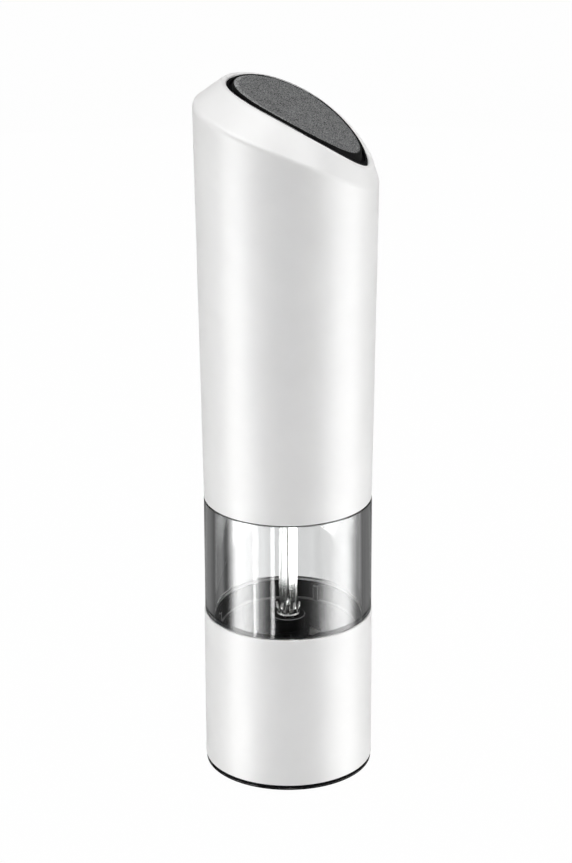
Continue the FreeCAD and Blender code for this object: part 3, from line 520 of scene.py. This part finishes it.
# %% Black foot
FOOT_LIP = 0.55
FOOT_GROOVE = 0.4
OUTLET_RADIUS, OUTLET_WALL, OUTLET_TOP = 17.0, 1.2, 8.0
SPIGOT_RADIUS, SPIGOT_WALL = 23.95, 1.7
FOOT_ROUND, LIT_EDGE_ROUND = 0.16, 0.08
FOOT_HIGHLIGHT_SHARE = 0.35
foot_radius, spigot_top = reach_of("base_cover"), top_of("base_cover")
upper_lip = collar_low - FOOT_LIP
groove_radius = foot_radius - FOOT_GROOVE
spigot_bore = SPIGOT_RADIUS - SPIGOT_WALL
outlet_outside = OUTLET_RADIUS + OUTLET_WALL
bm = bmesh.new()
bm.faces.layers.float.new("painted_highlight")
spin_ring(bm, [
    (OUTLET_RADIUS, 0), (foot_radius, 0), (foot_radius, FOOT_LIP), (groove_radius, FOOT_LIP),
    (groove_radius, upper_lip), (foot_radius, upper_lip), (foot_radius, collar_low),
    (SPIGOT_RADIUS, collar_low), (SPIGOT_RADIUS, spigot_top), (spigot_bore, spigot_top),
    (spigot_bore, collar_low), (outlet_outside, collar_low), (outlet_outside, OUTLET_TOP),
    (OUTLET_RADIUS, OUTLET_TOP),
])
soften(bm, FOOT_ROUND, at_radius(foot_radius, 0, upper_lip, collar_low))
# Painted highlight: the lower lip's upper edge gets a paler grey.
paint_highlight(bm, soften(bm, LIT_EDGE_ROUND, at_radius(foot_radius, FOOT_LIP)), FOOT_HIGHLIGHT_SHARE)
finished(bm, "black_foot", "base", "black_plastic", ["base_cover"])

# %% [markdown]
# ## Shade ring round the button
# Above the black well of the button, a thin black ring lies flush with the white top, over the top of
# the gap and the white lip's rounded inner edge. The ring is painted shade: it stands in for the shadow
# in the gap round the button. It is spun as a flat ring, drawn out to the opening's outline, and then bent
# over the arch of the top: each point rises by the height of the arch above it. The two ends of the
# opening lie a little deeper.

# %% Shade ring
TOP_ARCH_RADIUS, TOP_ARCH_X, TOP_ARCH_Z = 87.6, -38.2, 133.1
OPENING_X = 3.1
SHADE_RING_OUT, SHADE_RING_OUT_Y = 20.72, 21.5
SHADE_RING_IN, SHADE_RING_IN_Y = 20.07, 19.8
SHADE_RING_PROUD, SHADE_RING_LOW, SHADE_RING_TILT = 0.03, 0.5, 0.2
END_SINK, END_POWER = 0.9, 8
bm = bmesh.new()
spin_ring(bm, [
    (SHADE_RING_IN, -SHADE_RING_LOW), (SHADE_RING_OUT, -SHADE_RING_LOW), (SHADE_RING_OUT, SHADE_RING_PROUD),
    (SHADE_RING_IN, SHADE_RING_PROUD - SHADE_RING_TILT),
])
middle = (SHADE_RING_IN + SHADE_RING_OUT) / 2 * MM
outer = [v for v in bm.verts if v.co.xy.length > middle]
inner = [v for v in bm.verts if v.co.xy.length < middle]
bmesh.ops.scale(bm, vec=(1, SHADE_RING_OUT_Y / SHADE_RING_OUT, 1), verts=outer)
bmesh.ops.scale(bm, vec=(1, SHADE_RING_IN_Y / SHADE_RING_IN, 1), verts=inner)
bmesh.ops.translate(bm, vec=(OPENING_X * MM, 0, 0), verts=bm.verts)
for vert in bm.verts:
    run = vert.co.x / MM - TOP_ARCH_X
    arch = TOP_ARCH_Z + math.sqrt(TOP_ARCH_RADIUS ** 2 - run ** 2)
    sunk = END_SINK * ((vert.co.x / MM - OPENING_X) / SHADE_RING_OUT) ** END_POWER
    vert.co.z += (arch - sunk) * MM
# Painted shade: black over the gap and the white lip's rounded edge, for the gap's shadow.
finished(bm, "gap_shade_ring", "housing", "black_plastic")

# %% [markdown]
# ## Container
# The window is one thick wall with a socket that sits in the collar and a neck inside the head. It
# has an inner and an outer face, because the clear finish bends light at both. Only the two outer
# rims are rounded: they lie against white and draw a thin line there.

# %% Clear container
CONTAINER_BORE = 22.8
SOCKET_RADIUS = 23.95
NECK_RADIUS = 23.78
WINDOW_TOP = 88.0
WINDOW_ROUND = 0.4
window_radius = reach_of("container")
container_low, neck_top = bottom_of("container"), top_of("container")
bm = bmesh.new()
spin_ring(bm, [
    (CONTAINER_BORE, container_low), (SOCKET_RADIUS, container_low), (SOCKET_RADIUS, collar_top),
    (window_radius, collar_top), (window_radius, WINDOW_TOP), (NECK_RADIUS, WINDOW_TOP),
    (NECK_RADIUS, neck_top), (CONTAINER_BORE, neck_top),
])
soften(bm, WINDOW_ROUND, at_radius(window_radius))
window = finished(bm, "clear_container", "base", "clear_acrylic", ["container"])

# %% [markdown]
# ## Black cup
# The cup in the container is black, with a rounded rim, a cove where its wall meets the floor, and
# three ribs. Rim, cove and ribs draw the thin grey lines that show through the window. On the cove and
# the ribs' edges those lines are painted highlights, a paler grey marked on their faces. The wall is
# spun, and each rib is a cube that is stretched, set against the wall, turned to its place and rounded.

# %% Ribs
RIB_ANGLES = (70, 190, 310)
RIB_DEPTH, RIB_WIDTH = 1.0, 1.9
RIB_DROP, RIB_SINK, RIB_ROUND = 0.6, 0.05, 0.22
CUP_RADIUS, CUP_BORE = 22.75, 21.55
cup_low, cup_rim = bottom_of("insert_ring"), top_of("insert_ring")
floor_top = top_of("grinder_floor")


def add_rib(bm, angle):
    """Upright rib on the cup's wall, a little lower than the rim."""
    height = cup_rim - floor_top - RIB_DROP
    rib = bmesh.ops.create_cube(bm, size=1.0)["verts"]
    bmesh.ops.scale(bm, vec=(RIB_DEPTH * MM, RIB_WIDTH * MM, height * MM), verts=rib)
    middle = CUP_BORE - RIB_DEPTH / 2 + RIB_SINK
    bmesh.ops.translate(bm, vec=(middle * MM, 0, (floor_top + height / 2) * MM), verts=rib)
    turned(bm, rib, angle)
    # Painted highlight on the rib's rounded edges.
    paint_highlight(bm, bevel(bm, list({e for v in rib for e in v.link_edges}), RIB_ROUND, 2))


print("rib height in mm:", round(cup_rim - floor_top - RIB_DROP, 2))

# %% Cup with its ribs
CUP_SEAT_BORE, CUP_SEAT_LOW = 20.35, 41.6
FLOOR_THICKNESS = 2.0
COVE, COVE_LIFT = 0.5, 0.02
COVE_BAND, COVE_SLOPE = 0.1, 0.3
RIM_ROUND_IN, RIM_ROUND_OUT = 0.35, 0.25
floor_low = floor_top - FLOOR_THICKNESS
cove_low = floor_top + COVE_LIFT
bm = bmesh.new()
bm.faces.layers.float.new("painted_highlight")
spin_ring(bm, [
    (CUP_BORE, cup_rim), (CUP_RADIUS, cup_rim), (CUP_RADIUS, container_low),
    (SOCKET_RADIUS, container_low), (SOCKET_RADIUS, cup_low), (CUP_BORE, cup_low),
    (CUP_BORE, CUP_SEAT_LOW), (CUP_SEAT_BORE, CUP_SEAT_LOW), (CUP_SEAT_BORE, floor_low),
    (CUP_BORE, floor_low), (CUP_BORE, cove_low), (CUP_BORE - COVE, cove_low),
    (CUP_BORE, floor_top + COVE),
])
soften(bm, RIM_ROUND_IN, at_radius(CUP_BORE, cup_rim))
soften(bm, RIM_ROUND_OUT, at_radius(CUP_RADIUS, cup_rim))
cove_middle = (floor_top + COVE / 2) * MM
level = [f for f in bm.faces if abs(f.calc_center_median().z - cove_middle) < COVE_BAND * MM]
# Painted highlight: the cove's upward faces get the paler grey.
paint_highlight(bm, [f for f in level if f.normal.z > COVE_SLOPE])
for angle in RIB_ANGLES:
    add_rib(bm, angle)
finished(bm, "black_cup", "base", "black_plastic", ["insert_ring"])

# %% [markdown]
# ## Hub
# The shaft runs through a black hub that stands a little above the floor of the cup. Its top is a
# shallow dish with a narrow lip, and the lip's rounded edge carries a painted highlight, a pale ring for
# the light it catches. It is spun from one outline, in fewer steps than the large rings.

# %% Black hub
HUB_RADIUS, HUB_LIP, HUB_DISH = 5.2, 0.7, 0.3
BUSH_RADIUS, BUSH_BORE = 4.1, 3.1
HUB_STEPS = 96
HUB_ROUND = 0.18
hub_low, hub_top = bottom_of("hub_bush"), top_of("hub_bush")
bm = bmesh.new()
bm.faces.layers.float.new("painted_highlight")
spin_ring(bm, [
    (BUSH_BORE, hub_low), (BUSH_RADIUS, hub_low), (BUSH_RADIUS, floor_top), (HUB_RADIUS, floor_top),
    (HUB_RADIUS, hub_top), (HUB_RADIUS - HUB_LIP, hub_top), (HUB_RADIUS - HUB_LIP, hub_top - HUB_DISH),
    (BUSH_BORE, hub_top - HUB_DISH),
], HUB_STEPS)
# Painted highlight on the lip's rounded edge.
paint_highlight(bm, soften(bm, HUB_ROUND, at_radius(HUB_RADIUS, hub_top)))
finished(bm, "black_hub", "base", "black_plastic", ["hub_bush"])

# %% [markdown]
# ## Shaft
# The shaft is a square bar whose corner faces the viewer. Its corners have a narrow flat, and its top
# is chamfered to lead it into the drive. It starts as a cube that is stretched and turned. Its flats
# stay sharp, because drawn bar mirrors each side apart. A round pin carries it on below.

# %% Square shaft
SHAFT_SIDE = 4.3
SHAFT_TURN = 5.6
SHAFT_FLAT, SHAFT_LEAD = 0.33, 0.9
PIN_RADIUS, PIN_TOP, PIN_STEPS = 2.0, 19.85, 48
TOP_ROOM = 0.01
shaft_low, shaft_top = bottom_of("drive_shaft"), top_of("drive_shaft")
bm = bmesh.new()
bar = bmesh.ops.create_cube(bm, size=1.0)["verts"]
bmesh.ops.scale(bm, vec=(SHAFT_SIDE * MM, SHAFT_SIDE * MM, (shaft_top - PIN_TOP) * MM), verts=bar)
turned(bm, bar, 45 + SHAFT_TURN)
bmesh.ops.translate(bm, vec=(0, 0, (shaft_top + PIN_TOP) / 2 * MM), verts=bar)
soften(bm, SHAFT_FLAT, None, 1)
for edge in bm.edges:
    edge.smooth = edge.calc_face_angle(0) < SHARP
lead = [f for f in bm.faces if f.calc_center_median().z > (shaft_top - TOP_ROOM) * MM]
bevel(bm, list({e for f in lead for e in f.edges}), SHAFT_LEAD, 1)
pin = bmesh.ops.create_cone(bm, cap_ends=True, segments=PIN_STEPS, radius1=PIN_RADIUS * MM,
                            radius2=PIN_RADIUS * MM, depth=(PIN_TOP - shaft_low) * MM)["verts"]
bmesh.ops.translate(bm, vec=(0, 0, (PIN_TOP + shaft_low) / 2 * MM), verts=pin)
finished(bm, "square_shaft", "rotor", "bright_steel", ["drive_shaft"])

# %% [markdown]
# ## Stirring crown
# A springy steel crown sits on the hub and stirs the corns. It is pressed from thin sheet: nine petals
# and one tall clip with a slot, on a ring. Each of them is a short strip that is extruded along its
# bend. One petal is spun with copies, the slot is an inset that is cut out, and the sheet gets its
# thickness last, once for all.

# %% A bent strip
PETAL_BEND = [(3.05, 0.25, 0.70), (3.12, 0.8, 0.64), (3.3, 1.85, 0.48), (3.55, 3.05, 0.22)]
CLIP_BEND = [(3.15, 0.3, 0.80), (3.38, 2.2, 0.74), (3.4, 3.9, 0.6), (3.2, 5.55, 0.36)]
crown_low = bottom_of("star_washer")


def bent_strip(bm, bend, angle):
    """Thin strip that rises along its bend, a list of radius, rise and half width in millimetres."""
    radius, rise, half = bend[0]
    ends = [bm.verts.new((radius * MM, side * half * MM, (crown_low + rise) * MM)) for side in (-1, 1)]
    edge = bm.edges.new(ends)
    verts = list(ends)
    for radius, rise, half in bend[1:]:
        grown = bmesh.ops.extrude_edge_only(bm, edges=[edge])["geom"]
        ends = [g for g in grown if isinstance(g, bmesh.types.BMVert)]
        edge = next(g for g in grown if isinstance(g, bmesh.types.BMEdge) and set(g.verts) == set(ends))
        for v in ends:
            side = 1 if v.co.y > 0 else -1
            v.co = Vector((radius, side * half, crown_low + rise)) * MM
        verts += ends
    turned(bm, verts, angle)
    return verts


def faces_of(verts):
    """Faces that touch any of the points."""
    return list({f for v in verts for f in v.link_faces})


print("crown stands on z in mm:", round(crown_low, 2))

# %% Stirring crown
SHEET = 0.3
PLACES = 10
FRONT = 270 + SHAFT_TURN
SLOT_EDGE = 0.32
RING_IN, RING_OUT, RING_STEPS = 3.06, 3.6, 72
RING_RISE_IN, RING_RISE_OUT = 0.5, 0.35
bm = bmesh.new()
petal = bent_strip(bm, PETAL_BEND, FRONT + 360 / PLACES)
bmesh.ops.spin(bm, geom=petal + faces_of(petal), cent=(0, 0, 0), axis=(0, 0, 1),
               angle=math.tau * (PLACES - 2) / PLACES, steps=PLACES - 2, use_duplicate=True)
clip = bent_strip(bm, CLIP_BEND, FRONT)
slot = sorted(faces_of(clip), key=lambda f: f.calc_center_median().z)[:2]
bmesh.ops.inset_region(bm, faces=slot, thickness=SLOT_EDGE * MM, use_even_offset=True)
bmesh.ops.delete(bm, geom=slot, context="FACES")
bmesh.ops.solidify(bm, geom=bm.faces[:], thickness=SHEET * MM)
spin_ring(bm, [
    (RING_IN, crown_low), (RING_OUT, crown_low), (RING_OUT, crown_low + RING_RISE_OUT),
    (RING_IN, crown_low + RING_RISE_IN),
], RING_STEPS)
finished(bm, "stirring_crown", "rotor", "bright_steel", ["star_washer"])

# %% [markdown]
# ## Springs
# A spring is a wire circle that is swung round the axis and lifted a little at every step.

# %% Wind a spring
WIRE = 0.8
WIRE_SIDES, TURN_STEPS = 12, 32


def coil(name, node, body, radius, turns, middle_x):
    """Helical spring as tall as its solid; gives the piece, its low end and its high end."""
    low, high = bottom_of(node), top_of(node)
    steps = TURN_STEPS * turns
    rise = (high - low - WIRE) / steps
    bm = bmesh.new()
    start = Matrix.Translation((radius * MM, 0, (low + WIRE / 2) * MM))
    upright = Matrix.Rotation(math.pi / 2, 4, "X")
    bmesh.ops.create_circle(bm, cap_ends=True, radius=WIRE / 2 * MM, segments=WIRE_SIDES,
                            matrix=start @ upright)
    bmesh.ops.spin(bm, geom=bm.verts[:] + bm.edges[:] + bm.faces[:], cent=(0, 0, 0), axis=(0, 0, 1),
                   dvec=(0, 0, rise * MM), angle=math.tau * turns, steps=steps)
    bmesh.ops.translate(bm, vec=(middle_x * MM, 0, 0), verts=bm.verts)
    return finished(bm, name, body, "spring_steel", [node]), low, high


print("wire in mm:", WIRE)

# %% Button spring and burr spring
BUTTON_COIL_RADIUS, BUTTON_COIL_TURNS = 6.0, 5
BURR_COIL_RADIUS, BURR_COIL_TURNS = 4.3, 4
spring, low, high = coil("button_coil", "button_spring", "housing", BUTTON_COIL_RADIUS,
                         BUTTON_COIL_TURNS, OPENING_X)
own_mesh(spring)
spring, low, high = coil("burr_coil", "burr_spring", "base", BURR_COIL_RADIUS, BURR_COIL_TURNS, 0.0)
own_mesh(spring)

# %% [markdown]
# ## Lamps as sheets
# Area lamps would do for plain light, but a glossy thing shows the shape of its lamps. So each lamp
# here is a real sheet with a shining finish, set by its direction from the camera. The camera never
# sees the sheets, and some of them only serve reflections, or only plain light.

# %% Stage helpers
AIM = Vector((0, 0, 0.11))
CAMERA_SIDE = math.atan2(CAMERA_PLACE.y, CAMERA_PLACE.x)


def stage_finish(name):
    """Finish with an empty node tree, for a piece of the stage."""
    finish = bpy.data.materials.new(name)
    finish.use_nodes = True
    finish.node_tree.nodes.clear()
    return finish


def shine(finish, strength):
    """Make a finish shine; the strength is a number or a socket."""
    tree = finish.node_tree
    light = add_node(tree, "ShaderNodeEmission", Strength=strength)
    out = tree.nodes.new("ShaderNodeOutputMaterial")
    tree.links.new(light.outputs["Emission"], out.inputs["Surface"])


def staged(bm, name):
    """Piece of the stage that the camera doesn't see."""
    piece = as_object(bm, name)
    piece.visible_camera = False
    return piece


def lamp_at(name, left, up, distance, width, height, strength):
    """Shining sheet that faces the mill; left and up are degrees from the camera's direction."""
    azimuth = CAMERA_SIDE - math.radians(left)
    lift = math.radians(up)
    out = Vector((math.cos(azimuth) * math.cos(lift), math.sin(azimuth) * math.cos(lift), math.sin(lift)))
    facing = out.to_track_quat("Z", "Y").to_matrix().to_4x4()
    bm = bmesh.new()
    bmesh.ops.create_grid(bm, x_segments=1, y_segments=1, size=0.5)
    bmesh.ops.scale(bm, vec=(width, height, 1), verts=bm.verts)
    bmesh.ops.transform(bm, matrix=Matrix.Translation(AIM + out * distance) @ facing, verts=bm.verts)
    sheet = staged(bm, name)
    finish = stage_finish(name)
    shine(finish, strength)
    sheet.data.materials.append(finish)
    print(name, "shines with", strength)
    return sheet


print("camera side in degrees:", round(math.degrees(CAMERA_SIDE), 1))

# %% [markdown]
# ## Light tent
# Product photographs of white things use a light tent: soft light from both sides, a dark front where
# the camera stands, and dark cards towards the back that draw the edge of white on white. Straight
# behind the mill it is pale, so that the window stays clear. Here the tent is one round wall, and a
# ramp gives its brightness by direction, which takes fewer pieces than many lamps and cards. It
# reaches below the floor, because a camera that looks down sees upright walls mirror what lies lower.

# %% Light tent
def lit_by_direction(wall, stops):
    """Light that follows a ramp of (degrees left of the camera, strength) stops round the wall."""
    strongest = max(strength for left, strength in stops)
    finish = stage_finish(wall.name)
    tree = finish.node_tree
    place = tree.nodes.new("ShaderNodeTexCoord").outputs["Object"]
    facing = add_node(tree, "ShaderNodeMapping", Vector=place, Rotation=(0, 0, -CAMERA_SIDE))
    around = add_node(tree, "ShaderNodeTexGradient", Vector=facing.outputs["Vector"])
    around.gradient_type = "RADIAL"
    ramp = add_node(tree, "ShaderNodeValToRGB", Fac=around.outputs["Fac"])
    elements = ramp.color_ramp.elements
    while len(elements) < len(stops):
        elements.new(1.0)
    for element, (left, strength) in zip(elements, sorted(stops, reverse=True)):
        element.position = 0.5 - left / 360
        element.color = (strength / strongest,) * 3 + (1,)
    level = add_node(tree, "ShaderNodeMapRange", Value=ramp.outputs["Color"], To_Max=strongest)
    shine(finish, level.outputs["Result"])
    wall.data.materials.append(finish)
    print(wall.name, "has", len(stops), "stops, the strongest", strongest)


TENT_RADIUS, TENT_LOW, TENT_HIGH, TENT_STEPS = 0.75, -0.62, 0.18, 180
bm = bmesh.new()
bmesh.ops.create_cone(bm, cap_ends=False, segments=TENT_STEPS, radius1=TENT_RADIUS, radius2=TENT_RADIUS,
                      depth=TENT_HIGH - TENT_LOW)
bmesh.ops.translate(bm, vec=(0, 0, (TENT_HIGH + TENT_LOW) / 2), verts=bm.verts)
lit_by_direction(staged(bm, "light_tent"), [
    (-176.8, 0.76), (-174.8, 0.28), (-173, 0.12), (-150, 0.18), (-131, 0.09), (-108, 0.7),
    (-99, 4.5), (-91, 7.2), (-84, 8.5), (-70, 8.5), (-57, 5.4), (-42, 1.2), (-30, 0.3), (-12, 0.03),
    (12, 0.03), (22, 0.3), (30, 1.1), (42, 4.2), (57, 9.0), (70, 9.5), (78, 8.7), (85, 3.2), (90, 0.5),
    (95, 0.12), (131, 0.08), (150, 0.2), (163.5, 0.24), (167, 0.03), (170.5, 0.3), (175, 0.26),
    (177, 0.75), (180, 0.77),
])

# %% [markdown]
# ## Strips for the window
# Two crisp upright lines stand on the left half of the window. They are reflections of narrow strip
# lamps. The strips are linked to the window alone, so that they draw no lines on the satin shell.

# %% Strip lamps
STRIPS = ((46.0, 0.046, 16.0), (21.4, 0.052, 8.0))
STRIP_UP, STRIP_DISTANCE, STRIP_HEIGHT = -21, 0.7, 0.9
window_only = bpy.data.collections.new("lit_by_strips")
window_only.objects.link(window)
for left, width, strength in STRIPS:
    strip = lamp_at("strip_light_%d" % left, left, STRIP_UP, STRIP_DISTANCE, width, STRIP_HEIGHT, strength)
    strip.light_linking.receiver_collection = window_only

# %% [markdown]
# ## Top lights
# A softbox overhead and a weak one in front give the plain light from above, and stay out of the
# reflections. A long softbox does the opposite: only reflections show it, and it lights up the slanted
# white lip round the button. A black flag stands behind the head, because the button and the gap round
# it are seen at a slant and would mirror the white room there.

# %% Softboxes and flag
BOX_DISTANCE, BOX_SIDE = 0.9, 0.9
LIP_LEFT, LIP_UP, LIP_WIDTH, LIP_HEIGHT, LIP_SHINE = 8, 54, 2.3, 0.6, 8.2
FLAG_UP, FLAG_DISTANCE, FLAG_WIDTH, FLAG_HEIGHT, FLAG_SHINE = 25, 0.85, 2.2, 0.62, 0.03
for name, up, strength in (("front_fill", 60, 0.3), ("top_softbox", 90, 3.6)):
    box = lamp_at(name, 0, up, BOX_DISTANCE, BOX_SIDE, BOX_SIDE, strength)
    box.visible_glossy = False
    box.visible_transmission = False
lip_box = lamp_at("lip_softbox", LIP_LEFT, LIP_UP, BOX_DISTANCE, LIP_WIDTH, LIP_HEIGHT, LIP_SHINE)
lip_box.visible_diffuse = False
lip_box.visible_transmission = False
flag = lamp_at("black_flag", 180, FLAG_UP, FLAG_DISTANCE, FLAG_WIDTH, FLAG_HEIGHT, FLAG_SHINE)
flag.visible_diffuse = False

# %% [markdown]
# ## White world
# The background is plain white: the world shows as white to the camera, to reflections and through
# the window, but lights the mill with far less, so that the white shell keeps its tones. The Light
# Path node tells the two apart.

# %% World
WORLD_LIGHT = 0.19


def seen_white(tree):
    """1 for rays that see the background: from the camera, in reflections and through the window."""
    path = tree.nodes.new("ShaderNodeLightPath").outputs
    seen = work_out(tree, "MAXIMUM", path["Is Camera Ray"], path["Is Glossy Ray"])
    return work_out(tree, "MAXIMUM", seen, path["Is Transmission Ray"])


world = bpy.data.worlds.new("studio")
scene.world = world
world.use_nodes = True
tree = world.node_tree
tree.nodes.clear()
level = add_node(tree, "ShaderNodeMapRange", Value=seen_white(tree), To_Min=WORLD_LIGHT, To_Max=1.0)
sky = add_node(tree, "ShaderNodeBackground", Color=(1, 1, 1, 1), Strength=level.outputs["Result"])
tree.links.new(sky.outputs["Background"], tree.nodes.new("ShaderNodeOutputWorld").inputs["Surface"])
print("the world lights with", WORLD_LIGHT)

# %% [markdown]
# ## White floor
# The floor is a plain sheet of paper that runs out of sight. It is white in the same way as the world,
# but keeps a little of its shaded colour, and with it the faint shadow under the foot. Reflections
# don't show it, so that the tent can be seen in the lower part of the shell.

# %% Floor
FLOOR_HALF = 6.0
PAPER_TONE = 0.8
WHITE_SHARE = 0.985
bm = bmesh.new()
bmesh.ops.create_grid(bm, x_segments=1, y_segments=1, size=FLOOR_HALF)
white_floor = as_object(bm, "white_floor")
white_floor.visible_glossy = False
white_floor.visible_transmission = False
finish = stage_finish("white_floor")
tree = finish.node_tree
paper = add_node(tree, "ShaderNodeBsdfDiffuse", Color=(PAPER_TONE, PAPER_TONE, PAPER_TONE, 1))
white = add_node(tree, "ShaderNodeEmission", Color=(1, 1, 1, 1), Strength=1.0)
share = add_node(tree, "ShaderNodeMapRange", Value=seen_white(tree), To_Min=0.0, To_Max=WHITE_SHARE)
mix = add_node(tree, "ShaderNodeMixShader", Fac=share.outputs["Result"])
tree.links.new(paper.outputs["BSDF"], mix.inputs[1])
tree.links.new(white.outputs["Emission"], mix.inputs[2])
tree.links.new(mix.outputs["Shader"], tree.nodes.new("ShaderNodeOutputMaterial").inputs["Surface"])
white_floor.data.materials.append(finish)
print("the floor is", 2 * FLOOR_HALF, "m wide")
